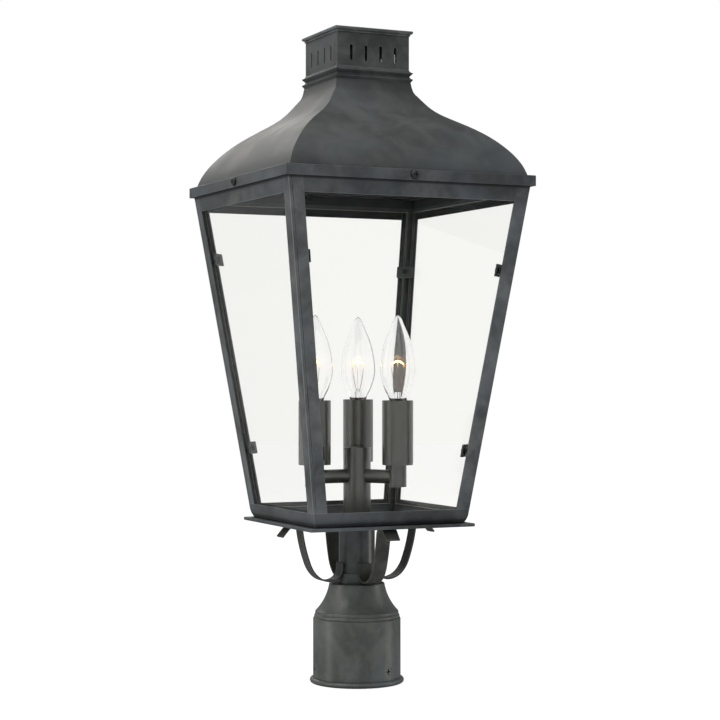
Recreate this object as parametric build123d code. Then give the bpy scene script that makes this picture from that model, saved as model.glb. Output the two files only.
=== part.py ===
from build123d import *
import os
from math import atan, cos, degrees, radians, sin, sqrt, tan

# Post top lantern.  Millimetres, +Z up, origin at the centre of the fitter's foot.
# The front face looks along -Y.  A piece that repeats on the four sides is drawn
# once, for the front side or for the front left corner, and turned about Z.

# ---------------------------------------------------------------- driving sizes
# Fitter, which slips over a round post
post_diameter = 76.2
post_clearance = 0.4            # radial
fitter_wall = 2.9
fitter_bead_radius = 2.5
fitter_bead_offset = 0.6        # bead centre outside the cylinder
fitter_cylinder_height = 61.4
fitter_ring_height = 7.2        # height of the two small rings together
fitter_ring_inset = 1.0         # radius lost at each ring
fitter_ring_bulge = 0.7
fitter_ring_lift = 0.2
fitter_edge_round = 1.2
fitter_height = 94.0
fitter_top_radius = 26.3
fitter_flare_bulge = 8.3        # how far the flare's middle lies inside a straight cone
fitter_flare_wall = 2.5
fitter_top_wall = 3.0
post_stop_height = 58.0

# Set screws, in the foot of the fitter
set_screw_count = 3
set_screw_first_angle = 50.8
set_screw_height = 13.6
set_screw_diameter = 8.8
set_screw_recess = 2.0
set_screw_cross = 0.62          # of the screw's width
set_screw_clearance = 0.15
set_screw_sink = 0.35           # below the surface of the fitter
set_screw_tip_gap = 0.15        # between the tip and the bore

# Stem between fitter and base plate
pipe_diameter = 9.9
pipe_bore = 7.8
pipe_clearance = 0.25           # radial, in the pieces the pipe passes through
pipe_below_nut = 3.0
nut_across_flats = 14.0
nut_height = 4.0
nut_flange_radius = 9.0
nut_flange_height = 1.0
thread_clearance = 0.05         # radial, between a nut or boss and its thread
collar_radius = 18.2
collar_height = 10.0
collar_groove = 0.7
collar_groove_under = 0.2
neck_radius = 17.1
neck_wall = 1.5
neck_length = 46.0
spigot_height = 2.0
spigot_clearance = 0.15

# Base plate
plate_side = 165.8
plate_thickness = 3.0
plate_corner_radius = 2.0
plate_edge_round = 0.8

# Scroll straps
strap_width = 14.0
strap_thickness = 1.5
strap_inner_leg = 4.8           # straight part against the neck tube
strap_dip = 2.0                 # between the bottom of the strap and the fitter
strap_inner_bend = 11.75
strap_elbow_radius = 44.4       # three places along the outer leg, from the axis
strap_leg_radius = 50.6
strap_shoulder_radius = 58.6
strap_elbow_height = 6.35       # and their places above the dip
strap_leg_height = 16.2
strap_shoulder_drop = 5.15      # the last one, below the plate
strap_flat_length = 2.5
strap_curl_radius = 7.5
strap_curl_angle = 49.0
strap_tab_length = 9.2

# Cage of sheet angle
cage_foot_half = 76.8           # half width at the base plate
cage_top_half = 120.9
cage_height = 318.3
sheet = 1.2
leg_width = 13.5
leg_seam_distance = 2.8         # folded seam beside the corner
leg_seam_width = 0.6
leg_seam_depth = 0.5
bottom_rail_height = 13.3
bottom_rail_straight = 4.5      # upper part of the wall, before it curves inwards
bottom_rail_tuck = 1.5          # how far the curve ends inside the cage's slope
bottom_rail_roll = 1.6          # the curl at the rail's foot
bottom_flange_depth = 13.0
top_rail_height = 22.3
top_flange_depth = 9.0
rail_end_gap = 0.15

# Glass panes and their clips
glass_thickness = 3.0
glass_gap = 0.05                # between pane and frame
glass_side_inset = 8.3          # pane edge to the outer corner of the cage
glass_top_overlap = 8.0
clip_length = 17.0
clip_height = 11.7
clip_thickness = 1.5
lower_clip_heights = (220.0, 220.0, 220.0, 220.0)    # in the order of the corners below
upper_clip_heights = (394.4, 386.2, 394.4, 402.1)
clip_corner_radius = 0.8
clip_hole_clearance = 0.2
clip_gap = 0.1                  # between the clip's edge and the glass
boss_diameter = 5.0
boss_gap = 0.1                  # between the boss and the post's corner
clip_screw_short = 2.0          # from the screw's end to the post
clip_screw_diameter = 2.9
clip_head_diameter = 6.0
clip_head_height = 2.2

# Candle cluster
candle_count = 3
candle_first_angle = 64.0
candle_circle_radius = 44.5
column_radius = 13.0
column_wall = 1.5
column_above_arms = 27.0
column_cap_height = 2.5
arm_rise = 42.0                 # from the base plate to the axis of the arms
arm_diameter = 13.0
arm_wall = 1.2
arm_fit = 0.1
arm_end_reach = 0.4             # how far the arm goes into the column
cup_radius = 8.25
cup_wall = 1.35
cup_below_arm = 9.2
cup_above_arm = 11.3
cup_plate_radius = 14.4
cup_plate_thickness = 2.2
cup_lead_hole_radius = 3.0
sleeve_radius = 14.5
sleeve_wall = 1.1
sleeve_length = 58.0

# Lamp sockets and lamps
socket_stem_radius = 5.5
socket_stem_height = 23.5
socket_radius = 9.5
socket_body_height = 30.0
socket_floor = 15.0             # cavity floor above the bottom of the body
lead_hole_gap = 0.1             # around and above the lead in the socket
screw_shell_radius = 6.45
screw_shell_wall = 0.4
screw_shell_length = 13.0
screw_shell_gap = 1.3           # above the cavity floor
screw_shell_fit = 0.1           # between the shell and the socket's cavity
screw_shell_foot_width = 3.0
screw_shell_foot_depth = 1.2
contact_radius = 3.5
contact_height = 1.0
lamp_contact_gap = 0.3
lamp_contact_height = 2.0
lamp_contact_radius = 2.6
lamp_contact_bevel = 0.6
lamp_contact_seat_inset = 1.2   # from the base's wall
lamp_base_radius = 5.8
lamp_base_wall = 0.35
lamp_base_bevel = 1.0
lamp_base_length = 13.9
lamp_neck_insert = 2.0          # how far the glass goes into the base
lamp_collar_radius = 6.6
lamp_collar_height = 1.6
lamp_collar_bevel = 0.4
lamp_glass_wall = 0.8
lamp_stem_radius = 3.1
lamp_stem_height = 12.0
lamp_widest_radius = 16.6
lamp_glass_height = 84.1
lamp_shape_fractions = (        # radius and height, as parts of the widest radius and the whole height
    (0.313, 0.0), (0.32, 0.026), (0.464, 0.055), (0.548, 0.094), (0.681, 0.146), (0.831, 0.22),
    (0.976, 0.329), (1.0, 0.41), (0.97, 0.477), (0.849, 0.625), (0.614, 0.772), (0.301, 0.919),
    (0.12, 0.985), (0.0, 1.0),
)
support_wire_radius = 0.35
support_foot_spread = 1.2
support_spread = 6.5
support_height = 26.0
filament_radius = 0.45
filament_rise = 3.5
filament_overlap = 0.5          # of the arch with the tips of its supports

# Lead wires, held inside the cluster and the pipe
lead_radius = 1.25
lead_spacing_radius = 1.9
lead_bend_radius = 5.0
lead_top_gap = 6.0              # below the floor of the socket's cavity
lead_below_pipe = 5.0

# Roof
seat_gap = 0.2                  # between the cage and the roof that rests on it
skirt_overhang = 2.6            # outside the cage's top edge
skirt_height = 9.7
skirt_ledge_depth = 11.5
skirt_edge_round = 0.7
roof_eave_inset = 5.5           # from the skirt's outer face
roof_shell = 1.1
roof_height = 90.8              # from the skirt to the moulding
roof_top_half = 38.0
moulding_inner_half = 34.5
moulding_step = 5.95            # height of one knife edge
moulding_foot_flare = 0.6
moulding_edge = 0.6             # thickness of the knife edges
moulding_sag = 0.4
moulding_fit = 0.1
moulding_reach = 39.65
moulding_neck_half = 37.2
chimney_half = 36.85
chimney_wall = 1.2
chimney_height = 34.0
slot_count = 4
slot_pitch = 15.0
slot_width = 2.9
slot_length = 14.8
slot_middle = 13.0              # above the foot of the chimney
cap_half = 39.75
cap_thickness = 2.4
cap_lip_height = 2.2
cap_lip_thickness = 0.8
cap_edge_round = 0.9
cap_fit = 0.1
cap_undercut = 0.5
cap_edge_drop = 0.3

# Skirt screws
skirt_screw_diameter = 3.9
skirt_screw_hole = 4.3
skirt_slot_width = 4.6
skirt_head_diameter = 8.0
skirt_head_height = 2.6
skirt_nut_across_flats = 7.0
skirt_nut_height = 2.2
skirt_nut_gap = 0.3
skirt_screw_beyond_nut = 1.2
skirt_notch_clearance = 0.3
skirt_nut_notch = 9.5           # notch in the flange of the top rail

# ---------------------------------------------------------------- derived places
bore_radius = post_diameter / 2 + post_clearance
fitter_radius = bore_radius + fitter_wall
collar_base = fitter_height
neck_base = collar_base + collar_height
plate_base = neck_base + neck_length
plate_top = plate_base + plate_thickness
cage_base = plate_top
cage_top = cage_base + cage_height
pipe_hole_radius = pipe_diameter / 2 + pipe_clearance
post_foot = cage_base + bottom_rail_height
post_head = cage_top - sheet
pane_base = post_foot - bottom_rail_straight + glass_gap
opening_top = cage_top - top_rail_height
pane_top = opening_top + glass_top_overlap
arm_height = plate_top + arm_rise
column_top = arm_height + column_above_arms
cup_base = arm_height - cup_below_arm
cup_plate_base = arm_height + cup_above_arm
sleeve_base = cup_plate_base + cup_plate_thickness
socket_body_base = sleeve_base + socket_stem_height
socket_cavity_base = socket_body_base + socket_floor
lamp_base_height = socket_cavity_base + contact_height + lamp_contact_gap
lamp_shell_base = lamp_base_height + lamp_contact_height
lamp_glass_base = lamp_shell_base + lamp_base_length - lamp_neck_insert
pipe_base = fitter_height - fitter_top_wall - nut_flange_height - nut_height - pipe_below_nut
pipe_top = plate_top + nut_flange_height + nut_height + pipe_below_nut
lead_top = socket_cavity_base - lead_top_gap
socket_lead_hole_radius = lead_radius + lead_hole_gap
lead_end = pipe_base - lead_below_pipe
skirt_half = cage_top_half + skirt_overhang
roof_eave_half = skirt_half - roof_eave_inset
skirt_ledge_base = cage_top + seat_gap
skirt_top = skirt_ledge_base + sheet
skirt_base = skirt_top - skirt_height
skirt_middle = (skirt_base + skirt_top) / 2
roof_top = skirt_top + roof_height
moulding_top = roof_top + 2 * moulding_step
chimney_top = moulding_top + chimney_height
cap_top = chimney_top + cap_thickness
set_screw_angles = [set_screw_first_angle + i * 360 / set_screw_count for i in range(set_screw_count)]
candle_angles = [candle_first_angle + i * 360 / candle_count for i in range(candle_count)]
sides = ("front", "right", "back", "left")
corners = ("front_left", "front_right", "back_right", "back_left")
taper = (cage_top_half - cage_foot_half) / cage_height


def cage_half(height):
    """Half width of the cage's outer faces at a height above the foot."""
    return cage_foot_half + taper * (height - cage_base)


# ---------------------------------------------------------------- shape helpers
def joined(curves):
    """One wire from curves that meet end to end."""
    return Wire([edge for curve in curves for edge in curve.edges()])


def rounded(start, end):
    """A quarter arc over an outer edge, upright at the start and level at the end."""
    across, up = end[0] - start[0], end[1] - start[1]
    turn = sin(radians(45))
    return ThreePointArc(start, (start[0] + across * (1 - turn), start[1] + up * turn), end)


def turned(profile):
    """A solid of revolution about Z from a closed outline drawn as (radius, height)."""
    return revolve(Plane.XZ * make_face(profile), Axis.Z)


def tube(outer, inner, base, top):
    """An upright tube."""
    length = top - base
    return Pos(0, 0, base + length / 2) * (Cylinder(outer, length) - Cylinder(inner, length))


def rod(radius, base, top):
    """An upright round bar."""
    return Pos(0, 0, (base + top) / 2) * Cylinder(radius, top - base)


def square_side(profile):
    """The front side of a square ring with a closed (half width, height) outline, mitred at both ends."""
    reach = skirt_half + 5
    bar = extrude(Plane.XZ * make_face(profile), reach, both=True)
    wedge = extrude(make_face(Polyline((0, 0), (reach, -reach), (reach, reach), close=True)), cap_top + reach)
    return Rot(0, 0, -90) * (bar & wedge)


def square_turned(profile):
    """A solid that carries a closed (half width, height) outline all around a square."""
    ring = None
    for side in around(square_side(profile)):
        ring = side if ring is None else ring + side
    return ring


def around(piece):
    """The same piece on all four sides or corners, starting at the front."""
    return [Rot(0, 0, 90 * quarter) * piece for quarter in range(4)]


def radial(piece, angle):
    """Turns a piece drawn along +X to an angle about Z."""
    return Rot(0, 0, angle) * piece


def hexagon_nut(across_flats, height, hole):
    """A plain hexagon nut standing on z = 0."""
    body = extrude(RegularPolygon(across_flats / 2, 6, major_radius=False), height)
    return body - Pos(0, 0, height / 2) * Cylinder(hole, height)


def cross_recess(width, depth):
    """The cutter of a cross recess, from z = 0 downwards."""
    bar = Box(width, width / 4, depth, align=(Align.CENTER, Align.CENTER, Align.MAX))
    return bar + Rot(0, 0, 90) * bar


def pan_head_screw(head_diameter, head_height, shank_diameter, shank_length):
    """A screw whose head stands on z = 0 and whose shank goes down."""
    head = Pos(0, 0, head_height / 2) * Cylinder(head_diameter / 2, head_height)
    head = fillet(head.edges().group_by(Axis.Z)[-1], head_height * 0.55)
    head = head - Pos(0, 0, head_height + 0.01) * cross_recess(head_diameter * 0.5, head_height * 0.5)
    shank = Pos(0, 0, -shank_length / 2) * Cylinder(shank_diameter / 2, shank_length)
    return head + shank


# ---------------------------------------------------------------- fitter and stem
def make_fitter():
    bead_centre = fitter_radius + fitter_bead_offset
    bead_top = 2 * fitter_bead_radius
    ring_start = fitter_radius - fitter_edge_round
    ring_step = fitter_ring_height / 2
    lines = [Line((bore_radius, 0), (bead_centre, 0))]
    lines.append(ThreePointArc((bead_centre, 0), (bead_centre + fitter_bead_radius, fitter_bead_radius),
                               (bead_centre, bead_top)))
    lines.append(Polyline((bead_centre, bead_top), (fitter_radius, bead_top),
                          (fitter_radius, fitter_cylinder_height - fitter_edge_round)))
    lines.append(rounded((fitter_radius, fitter_cylinder_height - fitter_edge_round),
                         (ring_start, fitter_cylinder_height)))
    radius, height = ring_start, fitter_cylinder_height
    for _ in range(2):
        end = (radius - fitter_ring_inset, height + ring_step)
        middle = (radius - fitter_ring_inset / 2 + fitter_ring_bulge,
                  height + ring_step / 2 + fitter_ring_lift)
        lines.append(ThreePointArc((radius, height), middle, end))
        radius, height = end
    flare_top = fitter_height - fitter_edge_round
    middle = (fitter_top_radius + (radius - fitter_top_radius) / 2, (height + flare_top) / 2)
    slope = sqrt((radius - fitter_top_radius) ** 2 + (flare_top - height) ** 2)
    bulge = fitter_flare_bulge * (radius - fitter_top_radius) / slope / 2.2
    flare_middle = (middle[0] - bulge, middle[1] - bulge * 0.6)
    lines.append(ThreePointArc((radius, height), flare_middle, (fitter_top_radius, flare_top)))
    rim = (fitter_top_radius - fitter_edge_round, fitter_height)
    lines.append(rounded((fitter_top_radius, flare_top), rim))
    inner_top = fitter_height - fitter_top_wall
    inner_foot = (radius - fitter_flare_wall, height - fitter_flare_wall / 2)
    lines.append(Polyline(rim, (pipe_hole_radius, fitter_height), (pipe_hole_radius, inner_top),
                          (fitter_top_radius - fitter_flare_wall, inner_top)))
    lines.append(ThreePointArc((fitter_top_radius - fitter_flare_wall, inner_top),
                               (flare_middle[0] - fitter_flare_wall, flare_middle[1] - fitter_flare_wall / 2),
                               inner_foot))
    lines.append(Polyline(inner_foot, (inner_foot[0], post_stop_height), (bore_radius, post_stop_height),
                          (bore_radius, 0)))
    body = turned(joined(lines))
    hole_radius = set_screw_diameter / 2 + set_screw_clearance
    drill = Pos(fitter_radius, 0, set_screw_height) * Rot(0, 90, 0) * Cylinder(hole_radius, 4 * fitter_wall)
    for angle in set_screw_angles:
        body = body - radial(drill, angle)
    return body


def make_set_screw(angle):
    inner = bore_radius + set_screw_tip_gap
    outer = fitter_radius - set_screw_sink
    body = Pos((inner + outer) / 2, 0, 0) * Rot(0, 90, 0) * Cylinder(set_screw_diameter / 2, outer - inner)
    cross = cross_recess(set_screw_diameter * set_screw_cross, set_screw_recess)
    recess = Pos(outer + 0.01, 0, 0) * Rot(0, 90, 0) * cross
    return radial(Pos(0, 0, set_screw_height) * (body - recess), angle)


def make_collar():
    ring = rod(collar_radius, collar_base, neck_base)
    groove_foot = neck_base - collar_groove
    groove = tube(2 * collar_radius, neck_radius - collar_groove_under, groove_foot, neck_base)
    spigot = rod(neck_radius - neck_wall - spigot_clearance, neck_base, neck_base + spigot_height)
    return ring - groove + spigot - rod(pipe_hole_radius, collar_base, neck_base + spigot_height)


def make_plate():
    blank = extrude(RectangleRounded(plate_side, plate_side, plate_corner_radius), plate_thickness)
    blank = fillet(blank.edges().group_by(Axis.Z)[0] + blank.edges().group_by(Axis.Z)[-1], plate_edge_round)
    return Pos(0, 0, plate_base) * blank - rod(pipe_hole_radius, plate_base, plate_top)


def make_strap():
    """The strap on the right: arcs along its centre line, from the neck tube to the curled end."""
    inner = neck_radius + strap_thickness / 2
    dip = fitter_height + strap_dip + strap_thickness / 2
    under_plate = plate_base - strap_thickness / 2
    places = [
        (inner + strap_inner_bend, dip),
        (strap_elbow_radius, dip + strap_elbow_height),
        (strap_leg_radius, dip + strap_leg_height),
        (strap_shoulder_radius, under_plate - strap_shoulder_drop),
    ]
    bend_start = (inner, dip + strap_inner_bend)
    top = (inner, bend_start[1] + strap_inner_leg)
    lines = [Line(top, bend_start)]
    for place in places:
        lines.append(TangentArc(bend_start, place, tangent=lines[-1] % 1))
        bend_start = place
    heading = lines[-1] % 1
    shoulder_bend = strap_shoulder_drop / (1 - heading.X)
    flat_start = (strap_shoulder_radius + shoulder_bend * heading.Y, under_plate)
    flat_end = (flat_start[0] + strap_flat_length, under_plate)
    curl = radians(strap_curl_angle)
    curl_end = (flat_end[0] + strap_curl_radius * sin(curl),
                under_plate - strap_curl_radius * (1 - cos(curl)))
    tab_end = (curl_end[0] + strap_tab_length * cos(curl), curl_end[1] - strap_tab_length * sin(curl))
    lines.append(TangentArc(bend_start, flat_start, tangent=heading))
    lines.append(Line(flat_start, flat_end))
    lines.append(TangentArc(flat_end, curl_end, tangent=(1, 0)))
    lines.append(Line(curl_end, tab_end))
    start = Plane(origin=(inner, 0, top[1]), x_dir=(1, 0, 0), z_dir=(0, 0, -1))
    return sweep(start * Rectangle(strap_thickness, strap_width), path=Plane.XZ * joined(lines))


def make_pipe():
    return tube(pipe_diameter / 2, pipe_bore / 2, pipe_base, pipe_top)


def make_pipe_nuts():
    hole = pipe_diameter / 2 + thread_clearance
    flange = Pos(0, 0, nut_flange_height / 2) * (Cylinder(nut_flange_radius, nut_flange_height)
                                                 - Cylinder(hole, nut_flange_height))
    nut = flange + Pos(0, 0, nut_flange_height) * hexagon_nut(nut_across_flats, nut_height, hole)
    upper = Pos(0, 0, plate_top) * nut
    lower = Pos(0, 0, fitter_height - fitter_top_wall) * Rot(180, 0, 0) * nut
    return [upper, lower]


# ---------------------------------------------------------------- cage and glass
def make_corner_post():
    """The front left post: an angle section drawn at the foot and pulled up the corner line."""
    half = cage_half(post_foot)
    rise = post_head - post_foot
    pull = Vector(-taper * rise, -taper * rise, rise)
    outline = Polyline((0, 0), (leg_width, 0), (leg_width, sheet), (sheet, sheet), (sheet, leg_width),
                       (0, leg_width), close=True)
    body = Solid.extrude(Pos(-half, -half, post_foot) * make_face(outline).face(), pull)
    seam = Pos(leg_seam_distance, leg_seam_depth / 2 - 0.5) * Rectangle(leg_seam_width, leg_seam_depth + 1)
    cutter = Solid.extrude((Pos(-half, -half, post_foot) * seam).face(), pull)
    return body - cutter


def between_posts(extra=0.0):
    """The tapered space between the posts, as seen from the front."""
    low, high = cage_base - 5, cage_top + 5
    inset = leg_width + rail_end_gap + extra
    half_low, half_high = cage_half(low) - inset, cage_half(high) - inset
    outline = Polyline((-half_low, low), (half_low, low), (half_high, high), (-half_high, high), close=True)
    return extrude(Plane.XZ * make_face(outline), 2 * cage_top_half, both=True)


def mitred(outer_half, depth, base, top):
    """A flat strip of the front side with its ends cut at the mitre."""
    inner = outer_half - depth
    gap = rail_end_gap / 2
    outline = Polyline((-outer_half + gap, -outer_half), (outer_half - gap, -outer_half),
                       (inner - gap, -inner), (-inner + gap, -inner), close=True)
    return Pos(0, 0, base) * extrude(make_face(outline), top - base)


def front_wall(section):
    """Carries a closed (distance in front of the axis, height) outline along the front side."""
    return extrude(Plane.YZ * make_face(section), cage_top_half, both=True)


def make_bottom_rail():
    """The front rail: a wall that curves inwards to a flange, mitred at both ends."""
    rail_top = post_foot
    bend_top = rail_top - bottom_rail_straight
    bend_foot = cage_base + bottom_rail_roll
    foot_half = cage_half(bend_foot) - bottom_rail_tuck
    flange_start = foot_half - bottom_rail_roll
    flange_end = cage_foot_half - bottom_flange_depth
    turn = 1 - sin(radians(45))
    lines = [Line((cage_half(rail_top), rail_top), (cage_half(bend_top), bend_top))]
    lines.append(TangentArc((cage_half(bend_top), bend_top), (foot_half, bend_foot), tangent=(-taper, -1)))
    lines.append(ThreePointArc((foot_half, bend_foot), (foot_half - bottom_rail_roll * turn,
                                                        bend_foot - bottom_rail_roll * (1 - turn)),
                               (flange_start, cage_base)))
    lines.append(Polyline((flange_start, cage_base), (flange_end, cage_base), (flange_end, cage_base + sheet),
                          (flange_start, cage_base + sheet)))
    curl = (bottom_rail_roll - sheet) / sqrt(2)
    lines.append(ThreePointArc((flange_start, cage_base + sheet), (flange_start + curl, bend_foot - curl),
                               (foot_half - sheet, bend_foot)))
    lines.append(TangentArc((cage_half(bend_top) - sheet, bend_top), (foot_half - sheet, bend_foot),
                            tangent=(-taper, -1)))
    lines.append(Polyline((cage_half(bend_top) - sheet, bend_top), (cage_half(rail_top) - sheet, rail_top),
                          (cage_half(rail_top), rail_top)))
    return square_side(joined(lines))


def make_top_rail():
    outer, inner = cage_half(opening_top), cage_half(opening_top) - sheet
    section = Polyline((-outer, opening_top), (-cage_top_half, cage_top), (-cage_top_half + sheet, cage_top),
                       (-inner, opening_top), close=True)
    wall = front_wall(section) & between_posts()
    rail = wall + mitred(cage_top_half, top_flange_depth, post_head, cage_top)
    slot_top = cage_top + 1
    slot = Pos(0, -cage_top_half, (skirt_middle + slot_top) / 2) * Box(
        skirt_slot_width, 4 * top_flange_depth, slot_top - skirt_middle)
    slot_foot = Pos(0, -cage_top_half, skirt_middle) * Rot(90, 0, 0) * Cylinder(
        skirt_slot_width / 2, 4 * top_flange_depth)
    notch_depth = sheet + skirt_nut_gap + skirt_nut_height + skirt_screw_beyond_nut + skirt_notch_clearance
    notch = Pos(0, -cage_top_half + sheet + notch_depth / 2, slot_top) * Box(
        skirt_nut_notch, notch_depth, 2 * (slot_top - post_head))
    return rail - slot - slot_foot - notch


def make_pane():
    ends = []
    for height in (pane_base, pane_top):
        middle = cage_half(height) - sheet - glass_gap - glass_thickness / 2
        width = 2 * (cage_half(height) - glass_side_inset)
        ends.append(Pos(0, -middle, height) * Rectangle(width, glass_thickness))
    return loft(ends, ruled=True)


def clip_plane(height, depth):
    """A plane across the front left corner, facing the axis, at a depth inside the corner line."""
    place = -(cage_half(height) - depth)
    lean = taper * sqrt(2)
    inward = Vector(1 / sqrt(2), 1 / sqrt(2), lean).normalized()
    return Plane(origin=(place, place, height), x_dir=(1, -1, 0), z_dir=inward)


glass_depth = sheet + glass_gap + glass_thickness
clip_depth = glass_depth + clip_gap + clip_length / 2 / sqrt(2)


def make_clip(height):
    plane = clip_plane(height, clip_depth)
    blank = extrude(RectangleRounded(clip_length, clip_height, clip_corner_radius), clip_thickness)
    hole = Cylinder(clip_screw_diameter / 2 + clip_hole_clearance, 4 * clip_thickness)
    return plane * (blank - hole)


boss_depth = sheet + boss_gap + boss_diameter / 2 / sqrt(2)
boss_length = (clip_depth - boss_depth) * sqrt(2) / sqrt(1 + 2 * taper ** 2)


def make_boss(height):
    plane = clip_plane(height, clip_depth)
    hole = clip_screw_diameter / 2 + thread_clearance
    body = Cylinder(boss_diameter / 2, boss_length) - Cylinder(hole, boss_length)
    return plane * Pos(0, 0, -boss_length / 2) * body


def make_clip_screw(height):
    plane = clip_plane(height, clip_depth)
    screw = pan_head_screw(clip_head_diameter, clip_head_height, clip_screw_diameter,
                           clip_thickness + boss_length - clip_screw_short)
    return plane * Pos(0, 0, clip_thickness) * screw


# ---------------------------------------------------------------- candle cluster
def arm_bar(radius):
    """The space of one arm, from the column's axis to the candle's axis."""
    bar = Cylinder(radius, candle_circle_radius)
    return Pos(candle_circle_radius / 2, 0, arm_height) * Rot(0, 90, 0) * bar


def at_candle(piece, angle):
    """Moves a piece drawn on the Z axis to a candle."""
    return Rot(0, 0, angle) * Pos(candle_circle_radius, 0, 0) * piece


def make_column():
    cap_base = column_top - column_cap_height
    body = tube(column_radius, column_radius - column_wall, plate_top, cap_base)
    for angle in candle_angles:
        body = body - radial(arm_bar(arm_diameter / 2 + arm_fit), angle)
    return body


def make_column_cap():
    cap_base = column_top - column_cap_height
    plug = rod(column_radius - column_wall - spigot_clearance, cap_base - spigot_height, cap_base)
    disc = rod(column_radius, cap_base, cap_base + column_cap_height)
    disc = fillet(disc.edges().group_by(Axis.Z)[-1], 0.6)
    return plug + disc


def make_arm(angle):
    bar = arm_bar(arm_diameter / 2) - arm_bar(arm_diameter / 2 - arm_wall)
    inside_column = rod(column_radius - column_wall - arm_end_reach, cup_base, cup_plate_base)
    inside_cup = Pos(candle_circle_radius, 0, 0) * rod(cup_radius - cup_wall, cup_base, cup_plate_base)
    return radial(bar - inside_column - inside_cup, angle)


def make_cup(angle):
    inner = cup_radius - cup_wall
    spigot = sleeve_radius - sleeve_wall - spigot_clearance
    outline = Polyline((0, cup_base), (cup_radius, cup_base), (cup_radius, cup_plate_base),
                       (cup_plate_radius, cup_plate_base), (cup_plate_radius, sleeve_base),
                       (spigot, sleeve_base), (spigot, sleeve_base + spigot_height),
                       (spigot - sheet, sleeve_base + spigot_height), (spigot - sheet, sleeve_base),
                       (cup_lead_hole_radius, sleeve_base), (cup_lead_hole_radius, cup_plate_base),
                       (inner, cup_plate_base), (inner, cup_base + cup_wall), (0, cup_base + cup_wall),
                       close=True)
    hole = Pos(-candle_circle_radius, 0, 0) * arm_bar(arm_diameter / 2 + arm_fit)
    return at_candle(turned(outline) - hole, angle)


def make_sleeve(angle):
    body = tube(sleeve_radius, sleeve_radius - sleeve_wall, sleeve_base, sleeve_base + sleeve_length)
    body = fillet(body.edges().group_by(Axis.Z)[-1], sleeve_wall * 0.3)
    return at_candle(body, angle)


def make_socket_body(angle):
    body_top = socket_body_base + socket_body_height
    cavity_radius = screw_shell_radius + screw_shell_fit
    outline = Polyline((socket_lead_hole_radius, sleeve_base), (socket_stem_radius, sleeve_base),
                       (socket_stem_radius, socket_body_base), (socket_radius, socket_body_base),
                       (socket_radius, body_top), (cavity_radius, body_top),
                       (cavity_radius, socket_cavity_base), (0, socket_cavity_base),
                       (0, lead_top + lead_hole_gap), (socket_lead_hole_radius, lead_top + lead_hole_gap),
                       close=True)
    return at_candle(turned(outline), angle)


def make_screw_shell(angle):
    base = socket_cavity_base + screw_shell_gap
    inner = screw_shell_radius - screw_shell_wall
    shell = tube(screw_shell_radius, inner, base, base + screw_shell_length)
    tab = tube(screw_shell_radius, screw_shell_radius - screw_shell_foot_depth, socket_cavity_base, base)
    feet = tab & Pos(0, 0, base) * Box(4 * screw_shell_radius, screw_shell_foot_width, 4 * screw_shell_gap)
    return at_candle(shell + feet, angle)


def make_contact(angle):
    return at_candle(rod(contact_radius, socket_cavity_base, socket_cavity_base + contact_height), angle)


# ---------------------------------------------------------------- lamps
def lamp_outline(wall):
    """Half outline of the glass as (radius, height); wall moves it inside the glass."""
    height = lamp_glass_height - 2 * wall
    points = [(max(lamp_widest_radius * across - wall, 0), wall + height * up)
              for across, up in lamp_shape_fractions]
    axis = Polyline(points[-1], (0, wall), points[0])
    return joined([Spline(points), axis])


def make_lamp_glass(angle):
    """The envelope with the glass stem that carries the filament's wires."""
    stem = rod(lamp_stem_radius, 0, lamp_stem_height)
    body = turned(lamp_outline(0)) - turned(lamp_outline(lamp_glass_wall)) + stem
    return at_candle(Pos(0, 0, lamp_glass_base) * body, angle)


def make_lamp_base(angle):
    inner = lamp_base_radius - lamp_base_wall
    top = lamp_base_length
    bevel = lamp_base_bevel
    collar_foot = top - lamp_collar_height
    outline = Polyline((0, 0), (lamp_base_radius - bevel, 0), (lamp_base_radius, bevel),
                       (lamp_base_radius, collar_foot), (lamp_collar_radius, collar_foot),
                       (lamp_collar_radius, top - lamp_collar_bevel),
                       (lamp_collar_radius - lamp_collar_bevel, top),
                       (inner, top), (inner, bevel), (0, bevel), close=True)
    return at_candle(Pos(0, 0, lamp_shell_base) * turned(outline), angle)


def make_lamp_contact(angle):
    seat = lamp_base_radius - lamp_contact_seat_inset
    outline = Polyline((0, 0), (lamp_contact_radius - lamp_contact_bevel, 0),
                       (lamp_contact_radius, lamp_contact_bevel), (seat, lamp_contact_height),
                       (0, lamp_contact_height), close=True)
    return at_candle(Pos(0, 0, lamp_base_height) * turned(outline), angle)


def make_filament(angle):
    """Two support wires and the filament between their tips, as one bent wire."""
    foot = lamp_stem_height
    tip = foot + support_height
    wire = None
    for side in (-1, 1):
        path = Line((side * support_foot_spread, 0, foot), (side * support_spread, 0, tip))
        leg = sweep(Plane(origin=path @ 0, z_dir=path % 0) * Circle(support_wire_radius), path=path)
        wire = leg if wire is None else wire + leg
    wire = wire & Pos(0, 0, foot + support_height / 2) * Cylinder(2 * support_spread, support_height)
    arch_foot = tip - filament_overlap
    arch = ThreePointArc((-support_spread, 0, arch_foot), (0, 0, tip + filament_rise),
                         (support_spread, 0, arch_foot))
    glow = sweep(Plane(origin=arch @ 0, z_dir=arch % 0) * Circle(filament_radius), path=arch)
    return at_candle(Pos(0, 0, lamp_glass_base) * (wire + glow), angle)


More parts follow.
